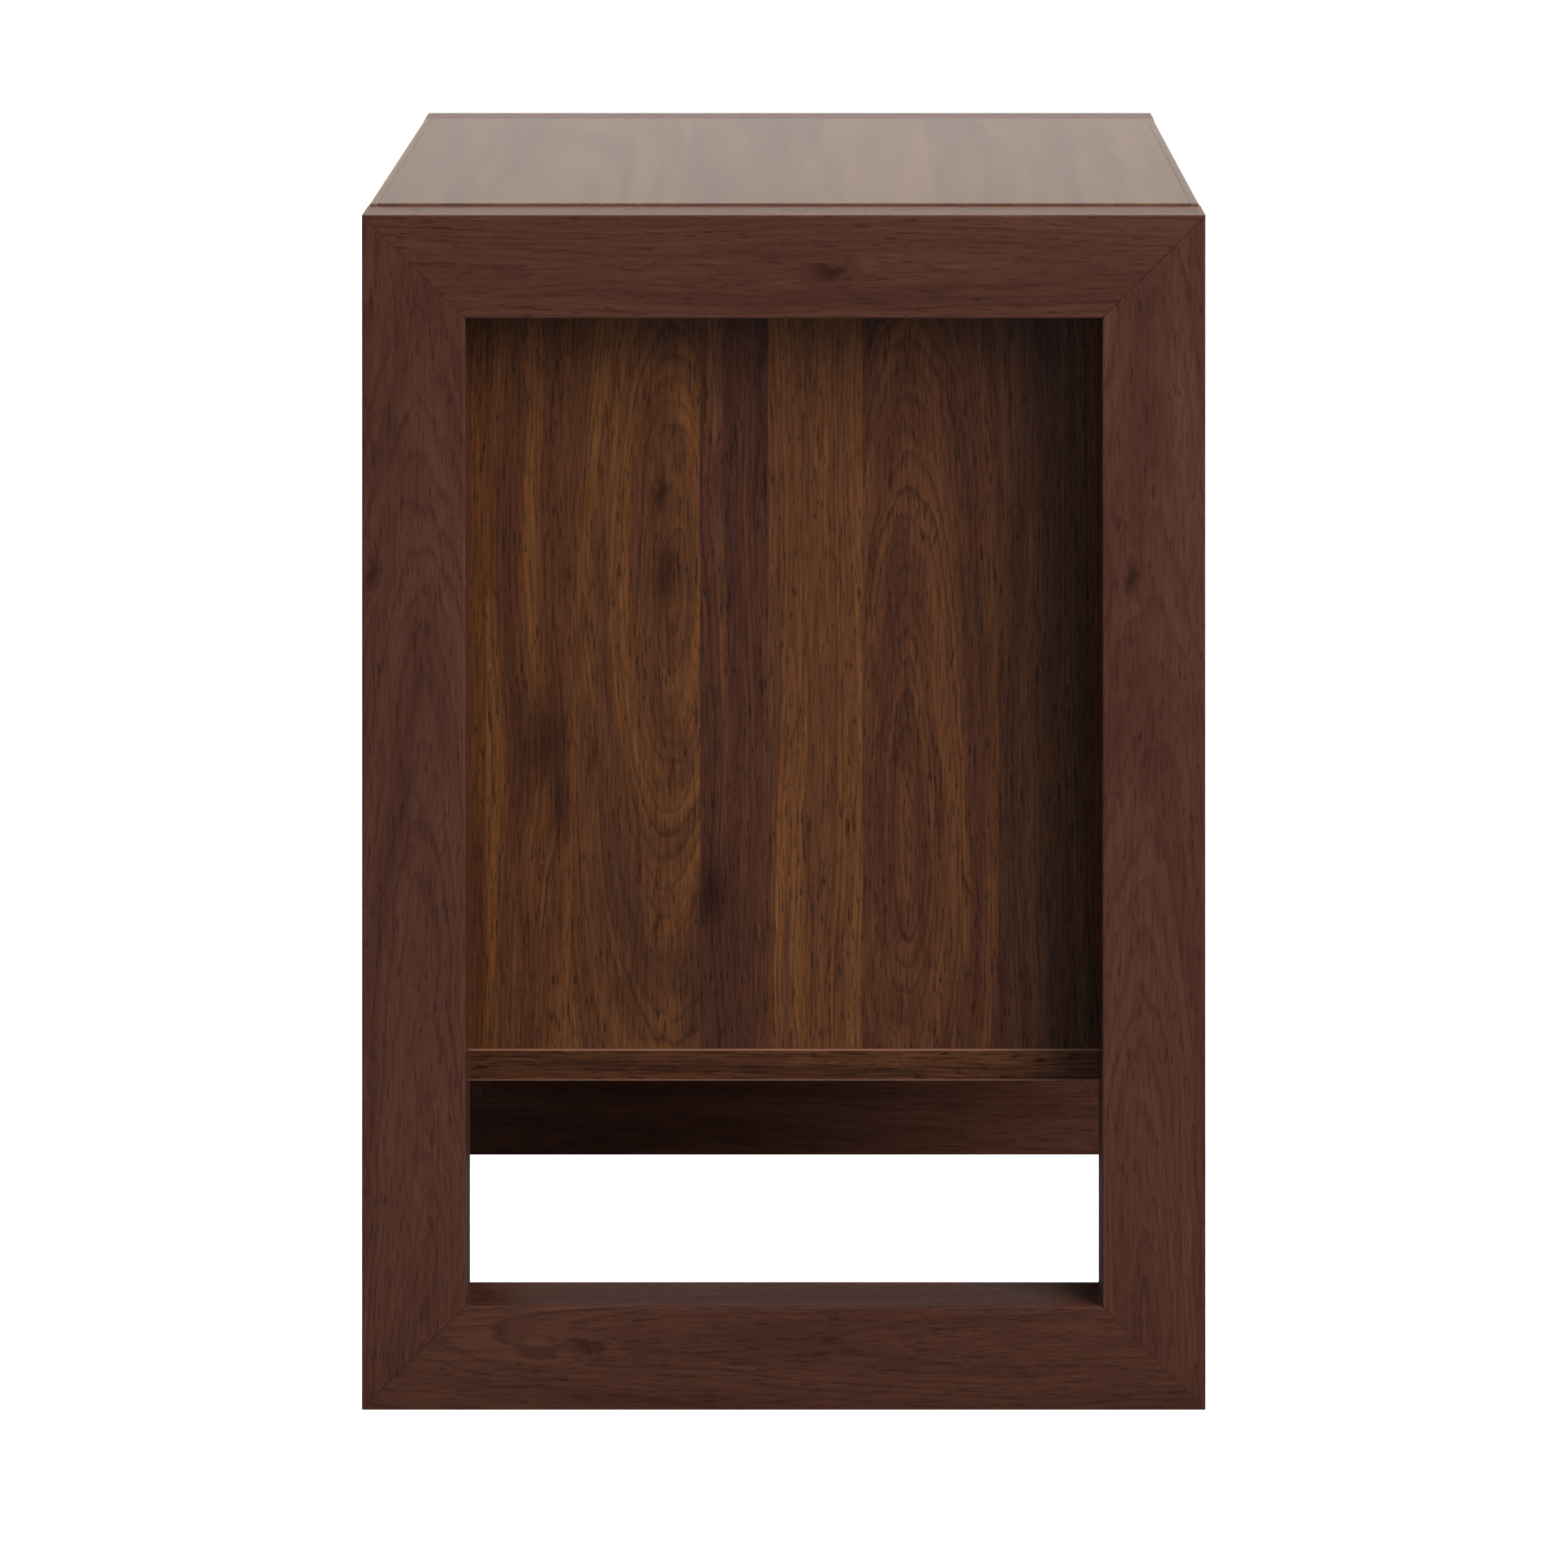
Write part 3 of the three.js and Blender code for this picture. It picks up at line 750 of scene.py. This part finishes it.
beechStain = {
    "deep": srgb(176, 138, 96), "middle": srgb(200, 164, 119), "pale": srgb(214, 182, 140),
    "ring": 0.12, "fibre": 0.16, "pore": 0.18, "gloss": 0.6, "swing": 0.5, "shine": 0.3,
    "relief": 0.35,
}
beechLog = {"seed": 21, "heart": 0.02, "depth": 0.08, "taper": 0.01, "ring": 0.002,
            "wander": 0.006}
beechUp = solidWood("beechUp", (0, 0, 0), "up", beechStain, beechLog)
beechRising = solidWood("beechRising", (0, 0, 0), "rising", beechStain, beechLog)
beechFalling = solidWood("beechFalling", (0, 0, 0), "falling", beechStain, beechLog)

# loose tenons across the mitres, with glue flutes
tenons = {
    "size": (0.036, 0.010, 0.024),
    "round": 0.0042,      # long edges
    "roundSteps": 5,
    "endChamfer": 0.0008,
    "flutes": 3,
    "fluteInset": 0.0007,
    "fluteDepth": 0.0005,
    "turn": 45,
}


def tenonPiece(node, sizes):
    centre = middleOf(node)
    half = Vector(sizes["size"]) / 2
    bm = boxMesh(-half, half)

    # flutes on the two wide faces, made before the edges are rounded
    cuts = 2 * sizes["flutes"]
    wide = [f for f in bm.faces if abs(f.normal.y) > 0.9]
    cross = [e for f in wide for e in f.edges if abs(e.verts[0].co.x - e.verts[1].co.x) < 1e-6]
    bmesh.ops.subdivide_edges(bm, edges=cross, cuts=cuts, use_grid_fill=True)
    strips = [f for f in bm.faces if abs(f.normal.y) > 0.9]
    strips.sort(key=lambda f: (f.normal.y, f.calc_center_median().z))
    picked = [f for i, f in enumerate(strips) if i % (cuts + 1) % 2]
    bmesh.ops.inset_individual(bm, faces=picked, thickness=sizes["fluteInset"],
                               depth=-sizes["fluteDepth"])

    def onLongEdge(v):
        return abs(abs(v.co.y) - half.y) < 1e-6 and abs(abs(v.co.z) - half.z) < 1e-6

    corners = [e for e in bm.edges if onLongEdge(e.verts[0]) and onLongEdge(e.verts[1])]
    easeEdges(bm, corners, sizes["round"], sizes["roundSteps"])
    rims = {e for f in bm.faces if abs(f.normal.x) > 0.9 for e in f.edges}
    easeEdges(bm, rims, sizes["endChamfer"], 1)
    falling = centre.x * (centre.z - unitHigh.z / 2) > 0
    turn = math.radians(sizes["turn"] if falling else -sizes["turn"])
    bmesh.ops.rotate(bm, cent=(0, 0, 0), verts=bm.verts, matrix=Matrix.Rotation(turn, 3, "Y"))
    bmesh.ops.translate(bm, vec=centre, verts=bm.verts)
    piece = newPiece(node + "_piece", bm, beechRising if falling else beechFalling)
    install(piece, node, "unit")


def turned(profile, steps, closed=False):
    # profile: (radius, height) pairs, spun about Z
    bm = bmesh.new()
    points = [bm.verts.new((radius, 0, height)) for radius, height in profile]
    edges = [bm.edges.new(pair) for pair in zip(points, points[1:])]
    if closed:
        edges.append(bm.edges.new((points[-1], points[0])))
    bmesh.ops.spin(bm, geom=points + edges, cent=(0, 0, 0), axis=(0, 0, 1), angle=2 * math.pi,
                   steps=steps, use_merge=True)
    bmesh.ops.remove_doubles(bm, verts=bm.verts, dist=1e-7)   # the poles
    return bm


def flute(bm, steps, every, least, share):
    # draws every so many columns of the outer rim inwards
    for v in bm.verts:
        radius = math.hypot(v.co.x, v.co.y)
        column = round(math.atan2(v.co.y, v.co.x) / (2 * math.pi) * steps)
        if radius > least and column % every == 0:
            v.co.x *= share
            v.co.y *= share


def threaded(low, high, pitch, core, crest):
    # a run of V threads between two heights, from high to low
    turns = round(abs(high - low) / pitch)
    step = (low - high) / turns
    run = []
    for i in range(turns):
        run += [(crest, high + (i + 0.25) * step), (core, high + (i + 0.75) * step)]
    return run


dowels = {
    "radius": 0.004,
    "chamfer": 0.0009,
    "steps": 32,
    "fluteEvery": 2,     # steps
    "fluteFrom": 0.99,   # only what lies outside this share of the radius
    "fluted": 0.92,      # and is drawn in to this
}


def dowelPiece(node, sizes):
    low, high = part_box(node)
    half = (high.z - low.z) / 2
    radius, chamfer = sizes["radius"], sizes["chamfer"]
    bm = turned([(0, -half), (radius - chamfer, -half), (radius, -half + chamfer),
                 (radius, half - chamfer), (radius - chamfer, half), (0, half)], sizes["steps"])
    flute(bm, sizes["steps"], sizes["fluteEvery"], radius * sizes["fluteFrom"], sizes["fluted"])
    bmesh.ops.translate(bm, vec=middleOf(node), verts=bm.verts)
    install(newPiece(node + "_piece", bm, beechUp), node, "unit")


for node in nodes:
    if node.endswith("_tenon"):
        tenonPiece(node, tenons)
    if node.endswith("_dowel"):
        dowelPiece(node, dowels)
print("tenons and dowels made")


wearShape = {
    "patchRange": (0.35, 0.7),
    "markStretch": (1, 1, 0.06),   # drawn out along Z
    "markShare": 0.4,              # of the roughness
    "patchShare": 0.6,
    "relief": 0.4,
}


def makeWearGroup(shape):
    # tarnish in soft patches, and fine upright marks
    tree, into, out = makeGroup(
        "handledSurface",
        [("Vector", "V", (0, 0, 0)), ("Clean", "C", (1, 1, 1, 1)), ("Dull", "C", (0, 0, 0, 1)),
         ("Patch Size", "F", 200), ("Mark Size", "F", 2500), ("Smooth", "F", 0.3),
         ("Rough", "F", 0.5)],
        [("Color", "C"), ("Roughness", "F"), ("Height", "F")])
    patch = noise(tree, into["Vector"], into["Patch Size"], 4, 0.6)
    patch = spread(tree, patch, *shape["patchRange"], soft=True)
    drawn = vec(tree, "MULTIPLY", into["Vector"], shape["markStretch"])
    marks = noise(tree, drawn, into["Mark Size"], 2, 0.5)
    tree.links.new(mix(tree, patch, into["Clean"], into["Dull"]), out["Color"])
    soiled = calc(tree, "MULTIPLY_ADD", marks, shape["markShare"],
                  calc(tree, "MULTIPLY", patch, shape["patchShare"]))
    gap = calc(tree, "SUBTRACT", into["Rough"], into["Smooth"])
    tree.links.new(calc(tree, "MULTIPLY_ADD", soiled, gap, into["Smooth"]), out["Roughness"])
    tree.links.new(marks, out["Height"])
    return tree


wearGroup = makeWearGroup(wearShape)


def handledMaterial(name, metallic, bump, values):
    material, tree, shader = newMaterial(name)
    coords = put(tree, "TexCoord").outputs["Object"]
    made = useGroup(tree, wearGroup, dict(values, Vector=coords))
    tree.links.new(made["Color"], shader.inputs["Base Color"])
    tree.links.new(made["Roughness"], shader.inputs["Roughness"])
    shader.inputs["Metallic"].default_value = metallic
    relief = put(tree, "Bump", {"Strength": wearShape["relief"], "Distance": bump,
                                "Height": made["Height"]})
    tree.links.new(relief.outputs[0], shader.inputs["Normal"])
    return material


zincSteel = handledMaterial("zincSteel", 1.0, 0.00002, {
    "Clean": srgb(196, 198, 200), "Dull": srgb(150, 152, 150), "Patch Size": 260,
    "Mark Size": 3000, "Smooth": 0.25, "Rough": 0.5})
turnedBrass = handledMaterial("turnedBrass", 1.0, 0.00002, {
    "Clean": srgb(205, 168, 98), "Dull": srgb(150, 112, 62), "Patch Size": 320,
    "Mark Size": 3500, "Smooth": 0.2, "Rough": 0.42})
blackNylon = handledMaterial("blackNylon", 0.0, 0.00006, {
    "Clean": srgb(28, 27, 27), "Dull": srgb(44, 42, 40), "Patch Size": 180,
    "Mark Size": 1600, "Smooth": 0.45, "Rough": 0.7})


levellingFoot = {
    "radius": 0.015,
    "height": 0.007,
    "steps": 48,
    "corner": 0.0015,
    "dish": 0.0012,          # hollow under the base
    "dishRadius": 0.006,
    "shoulder": 0.003,
    "shoulderAt": 0.57,      # share of the height
    "shoulderTurn": 62,
    "neck": 0.0059,
    "neckStep": (0.001, 0.0004),
    "socket": 0.0005,        # how far the stem goes into the base
    "gripEvery": 4,
    "gripFrom": 0.985,
    "gripShare": 0.955,
    "stemRadius": 0.0039,
    "stemCore": 0.0033,
    "stemSteps": 24,
    "stemRoot": (0.98, 0.0004),   # share of the core, and depth in the base
    "topRing": 0.0004,       # unthreaded, at the stem's top
    "pitch": 0.00125,
    "slotDepth": 0.001,      # the drive in the stem's top
    "slotRadius": 0.0017,
}
footInsert = {
    "radius": 0.006,
    "core": 0.0053,
    "bore": 0.0041,
    "pitch": 0.0025,
    "lip": 0.0004,
    "steps": 24,
}


def arcPoints(centre, radius, start, stop, steps):
    # (radius, height) points of a fillet, angles in degrees from straight outwards
    return [(centre[0] + radius * math.cos(math.radians(start + (stop - start) * i / steps)),
             centre[1] + radius * math.sin(math.radians(start + (stop - start) * i / steps)))
            for i in range(steps + 1)]


def footPieces(node, sizes):
    low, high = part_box(node)
    axis = Vector(((low.x + high.x) / 2, (low.y + high.y) / 2, low.z))
    body = bodyOf(node)
    radius, height, corner = sizes["radius"], sizes["height"], sizes["corner"]
    dish, shoulder = sizes["dish"], sizes["shoulder"]
    core, socket = sizes["stemCore"], sizes["socket"]
    stepOut, stepDown = sizes["neckStep"]

    profile = [(0, dish), (sizes["dishRadius"], dish), (sizes["dishRadius"] + dish * 2, 0)]
    profile += arcPoints((radius - corner, corner), corner, -90, 0, 4)
    profile += arcPoints((radius - shoulder, height * sizes["shoulderAt"]), shoulder,
                         0, sizes["shoulderTurn"], 5)
    profile += [(sizes["neck"] + stepOut, height - stepDown), (sizes["neck"], height),
                (sizes["stemRadius"], height), (core, height - socket), (0, height - socket)]
    base = turned(profile, sizes["steps"])
    flute(base, sizes["steps"], sizes["gripEvery"], radius * sizes["gripFrom"], sizes["gripShare"])
    bmesh.ops.translate(base, vec=axis, verts=base.verts)
    install(newPiece(node + "_base", base, blackNylon), node, body)

    top = high.z - low.z
    slot, slotFloor = sizes["slotRadius"], top - sizes["slotDepth"]
    rootShare, rootDepth = sizes["stemRoot"]
    profile = [(0, slotFloor), (slot, slotFloor), (slot, top), (core, top)]
    profile += threaded(height, top - sizes["topRing"], sizes["pitch"], core, sizes["stemRadius"])
    profile += [(core, height), (core * rootShare, height - rootDepth), (0, height - rootDepth)]
    stem = turned(profile, sizes["stemSteps"])
    bmesh.ops.translate(stem, vec=axis, verts=stem.verts)
    install(newPiece(node + "_stem", stem, zincSteel), node, body)


def insertPiece(node, sizes):
    low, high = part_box(node)
    tall = high.z - low.z
    radius, bore, lip = sizes["radius"], sizes["bore"], sizes["lip"]
    profile = [(radius - lip, tall)]
    profile += threaded(0, tall - lip, sizes["pitch"], sizes["core"], radius)
    profile += [(radius - lip, 0), (bore + lip, 0), (bore, lip), (bore, tall - lip),
                (bore + lip, tall)]
    bm = turned(profile, sizes["steps"], closed=True)
    axis = ((low.x + high.x) / 2, (low.y + high.y) / 2, low.z)
    bmesh.ops.translate(bm, vec=axis, verts=bm.verts)
    install(newPiece(node + "_piece", bm, turnedBrass), node, "unit")


shelfPin = {
    "shank": 0.008,
    "shankRadius": 0.0024,
    "collarRadius": 0.0045,
    "collar": 0.00125,
    "stubRadius": 0.003,
    "stub": 0.009,
    "round": 0.0005,
    "clear": 0.0001,       # between collar and panel
    "backEase": 0.0002,    # of the collar's edge at the panel
    "frontEase": 0.0003,
    "grooveAt": 0.0068,    # turned ring near the stub's end
    "groove": 0.0002,
    "steps": 32,
}
woodScrew = {
    "length": 0.040,
    "radius": 0.00225,
    "core": 0.00155,
    "headRadius": 0.0045,
    "headDepth": 0.00275,
    "plain": 0.012,        # unthreaded below the head
    "tip": 0.006,
    "pitch": 0.0018,
    "socket": 0.0015,      # across the hexagon's flats, halved
    "socketDepth": 0.0017,
    "socketPoint": 0.0004,
    "socketFloor": 0.6,    # flat share of its bottom
    "mouth": (1.22, 0.0001),       # its widened mouth: share across, and depth
    "headEase": 0.0002,
    "shank": 0.86,         # share of the thread's radius
    "shankNeck": 0.0005,
    "runOut": 0.0003,      # from shank to thread
    # the point: share of the core, and distance past the last thread
    "point": [(0.9, 0.0005), (1.1, 0.0015), (0.6, 0.003)],
    "steps": 24,
}


def innerFace(node):
    end = "near" if node.startswith("near") else "far"
    low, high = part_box(end + "_end_panel")
    return high.y if end == "near" else low.y


def setInPanel(bm, node):
    # made standing on Z = 0 with its head up; laid so that the head looks into the case
    low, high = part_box(node)
    turn = -90 if node.startswith("near") else 90
    onSideTurn = Matrix.Rotation(math.radians(turn), 3, "X")
    bmesh.ops.rotate(bm, cent=(0, 0, 0), verts=bm.verts, matrix=onSideTurn)
    place = Vector(((low.x + high.x) / 2, innerFace(node), (low.z + high.z) / 2))
    bmesh.ops.translate(bm, vec=place, verts=bm.verts)


def pinPiece(node, sizes):
    ease, clear = sizes["round"], sizes["clear"]
    shank, deep = sizes["shankRadius"], -sizes["shank"]
    rim, collar, front = sizes["collarRadius"], sizes["collar"], sizes["frontEase"]
    stub, end = sizes["stubRadius"], sizes["stub"]
    ring, groove = sizes["grooveAt"], sizes["groove"]
    profile = [(0, deep), (shank - ease, deep)]
    profile += arcPoints((shank - ease, deep + ease), ease, -90, 0, 3)[1:]
    profile += [(shank, clear), (rim - sizes["backEase"], clear), (rim, clear + sizes["backEase"]),
                (rim, collar - front), (rim - front, collar), (stub, collar)]
    profile += [(stub, ring - groove), (stub - groove, ring), (stub, ring + groove)]
    profile += arcPoints((stub - ease, end - ease), ease, 0, 90, 3)
    profile += [(0, end)]
    bm = turned(profile, sizes["steps"])
    setInPanel(bm, node)
    install(newPiece(node + "_piece", bm, turnedBrass), node, "unit")


def hexagonSocket(bm, flatRadius):
    # from a round socket to a hexagon, its flats at this radius
    for v in bm.verts:
        if abs(math.hypot(v.co.x, v.co.y) - flatRadius) < 1e-6:
            turn = (math.atan2(v.co.y, v.co.x) + math.pi / 6) % (math.pi / 3) - math.pi / 6
            v.co.x /= math.cos(turn)
            v.co.y /= math.cos(turn)


def screwPiece(node, sizes):
    socket, floor = sizes["socket"], -sizes["socketDepth"]
    mouthShare, mouthDepth = sizes["mouth"]
    head, ease, under = sizes["headRadius"], sizes["headEase"], -sizes["headDepth"]
    shank = sizes["radius"] * sizes["shank"]
    core = sizes["core"]
    end = -sizes["length"] + sizes["tip"]
    profile = [(0, floor - sizes["socketPoint"]), (socket * sizes["socketFloor"], floor),
               (socket, floor), (socket, -mouthDepth), (socket * mouthShare, 0),
               (head - ease, 0), (head, -ease), (sizes["radius"], under),
               (shank, under - sizes["shankNeck"]), (shank, -sizes["plain"])]
    profile += threaded(end, -sizes["plain"] - sizes["runOut"], sizes["pitch"], core,
                        sizes["radius"])
    profile += [(core * share, end - past) for share, past in sizes["point"]]
    profile += [(0, -sizes["length"])]
    bm = turned(profile, sizes["steps"])
    hexagonSocket(bm, socket)
    setInPanel(bm, node)
    install(newPiece(node + "_piece", bm, zincSteel), node, "unit")


for node in nodes:
    if node.endswith("_foot"):
        footPieces(node, levellingFoot)
    if node.endswith("_insert"):
        insertPiece(node, footInsert)
    if node.endswith("_pin"):
        pinPiece(node, shelfPin)
    if node.endswith("_screw"):
        screwPiece(node, woodScrew)
print("feet, inserts, pins and screws made")


# pale floor, soft light
studio = {
    "floorSize": 60,
    "floorRough": 0.7,
    "floorGlow": 1.0,              # lifts the floor to the lens's white
    "floorTone": 0.8,
    # what it gives back of the light: before the near end, and under the unit
    "floorBounce": (0.36, 0.06),
    "bounceEdge": (-0.4, -0.3),    # between which the one turns into the other
    # what gloss shows of it: around the unit, and out to the open side
    "floorMirrored": (0.05, 0.9),
    "mirroredEdge": (0.6, 1.1),
    "fill": 0.36,
    # the room as gloss shows it, with its three pale parts; a part fades in between the two
    # figures given, how far a line of length 1 towards it reaches along Y, X or Z
    "room": 0.03,
    "band": (1.26, 1.24, 1.17),    # low down behind the unit
    "bandBehind": (0.2, 0.7),
    "bandTop": (0.1, 0.14),
    "window": (0.8, 0.8, 0.8),     # in front of the open side
    "windowAside": (0.55, 0.95),
    "windowTop": (0.3, 0.5),
    "ceiling": (1.3, 1.3, 1.3),
    "ceilingFrom": (0.45, 0.8),
    # place, aim, width, height and power of each soft lamp
    "lamps": {
        "key": ((2.9, -3.3, 3.1), (0, 0, 0.33), 3.2, 4.4, 266),
        "overhead": ((0, 0.8, 3.6), (0, 0, 0.6), 2.4, 2.4, 130),
        "behind": ((-2.8, 3.4, 2.2), (0, 0, 0.33), 3.0, 3.0, 130),
    },
}


def makeFloor(room):
    material, tree, shader = newMaterial("paleFloor")
    shader.inputs["Roughness"].default_value = room["floorRough"]
    ray = put(tree, "LightPath").outputs
    glossy = ray["Is Glossy Ray"]
    place = put(tree, "SeparateXYZ", (put(tree, "TexCoord").outputs["Object"],)).outputs
    bounce = spread(tree, place[1], *room["bounceEdge"], *room["floorBounce"], soft=True)
    tone = spread(tree, ray["Is Camera Ray"], 0, 1, bounce, room["floorTone"])
    tone = calc(tree, "MULTIPLY", tone, calc(tree, "SUBTRACT", 1.0, glossy))
    tree.links.new(tone, shader.inputs["Base Color"])
    glow = calc(tree, "MULTIPLY", ray["Is Camera Ray"], room["floorGlow"])
    mirrored = spread(tree, place[0], *room["mirroredEdge"], *room["floorMirrored"], soft=True)
    glow = calc(tree, "MULTIPLY_ADD", glossy, mirrored, glow)
    tree.links.new(glow, shader.inputs["Emission Strength"])
    shader.inputs["Emission Color"].default_value = (1, 1, 1, 1)

    bm = bmesh.new()
    bmesh.ops.create_grid(bm, x_segments=1, y_segments=1, size=room["floorSize"] / 2)
    mesh = bpy.data.meshes.new("floor")
    bm.to_mesh(mesh)
    bm.free()
    mesh.materials.append(material)
    floor = bpy.data.objects.new("floor", mesh)
    scene.collection.objects.link(floor)


def makeRoom(room):
    world = bpy.data.worlds.new("studio")
    scene.world = world
    world.use_nodes = True
    tree = world.node_tree
    toward = put(tree, "SeparateXYZ", (put(tree, "TexCoord").outputs["Generated"],)).outputs
    behind = spread(tree, toward[1], *room["bandBehind"], soft=True)
    band = calc(tree, "MULTIPLY", behind, spread(tree, toward[2], *room["bandTop"], 1, 0, soft=True))
    aside = spread(tree, toward[0], *room["windowAside"], soft=True)
    window = calc(tree, "MULTIPLY", aside,
                  spread(tree, toward[2], *room["windowTop"], 1, 0, soft=True))
    ceiling = spread(tree, toward[2], *room["ceilingFrom"], soft=True)
    mirrored = mix(tree, band, (room["room"],) * 3 + (1,), (*room["band"], 1))
    mirrored = mix(tree, window, mirrored, (*room["window"], 1))
    mirrored = mix(tree, ceiling, mirrored, (*room["ceiling"], 1))
    ray = put(tree, "LightPath").outputs
    light = mix(tree, ray["Is Glossy Ray"], (room["fill"],) * 3 + (1,), mirrored)
    light = mix(tree, ray["Is Camera Ray"], light, (1, 1, 1, 1))
    tree.links.new(light, tree.nodes["Background"].inputs["Color"])


def makeLamps(room):
    for name, (at, target, wide, tall, power) in room["lamps"].items():
        data = bpy.data.lights.new(name, "AREA")
        data.shape = "ELLIPSE"
        data.size = wide
        data.size_y = tall
        data.energy = power
        lamp = bpy.data.objects.new(name, data)
        lamp.location = at
        aim = Vector(target) - Vector(at)
        lamp.rotation_euler = aim.to_track_quat("-Z", "Y").to_euler()
        lamp.visible_glossy = False   # the room's pale parts are what the gloss shows
        scene.collection.objects.link(lamp)


makeFloor(studio)
makeRoom(studio)
makeLamps(studio)
print("studio made")
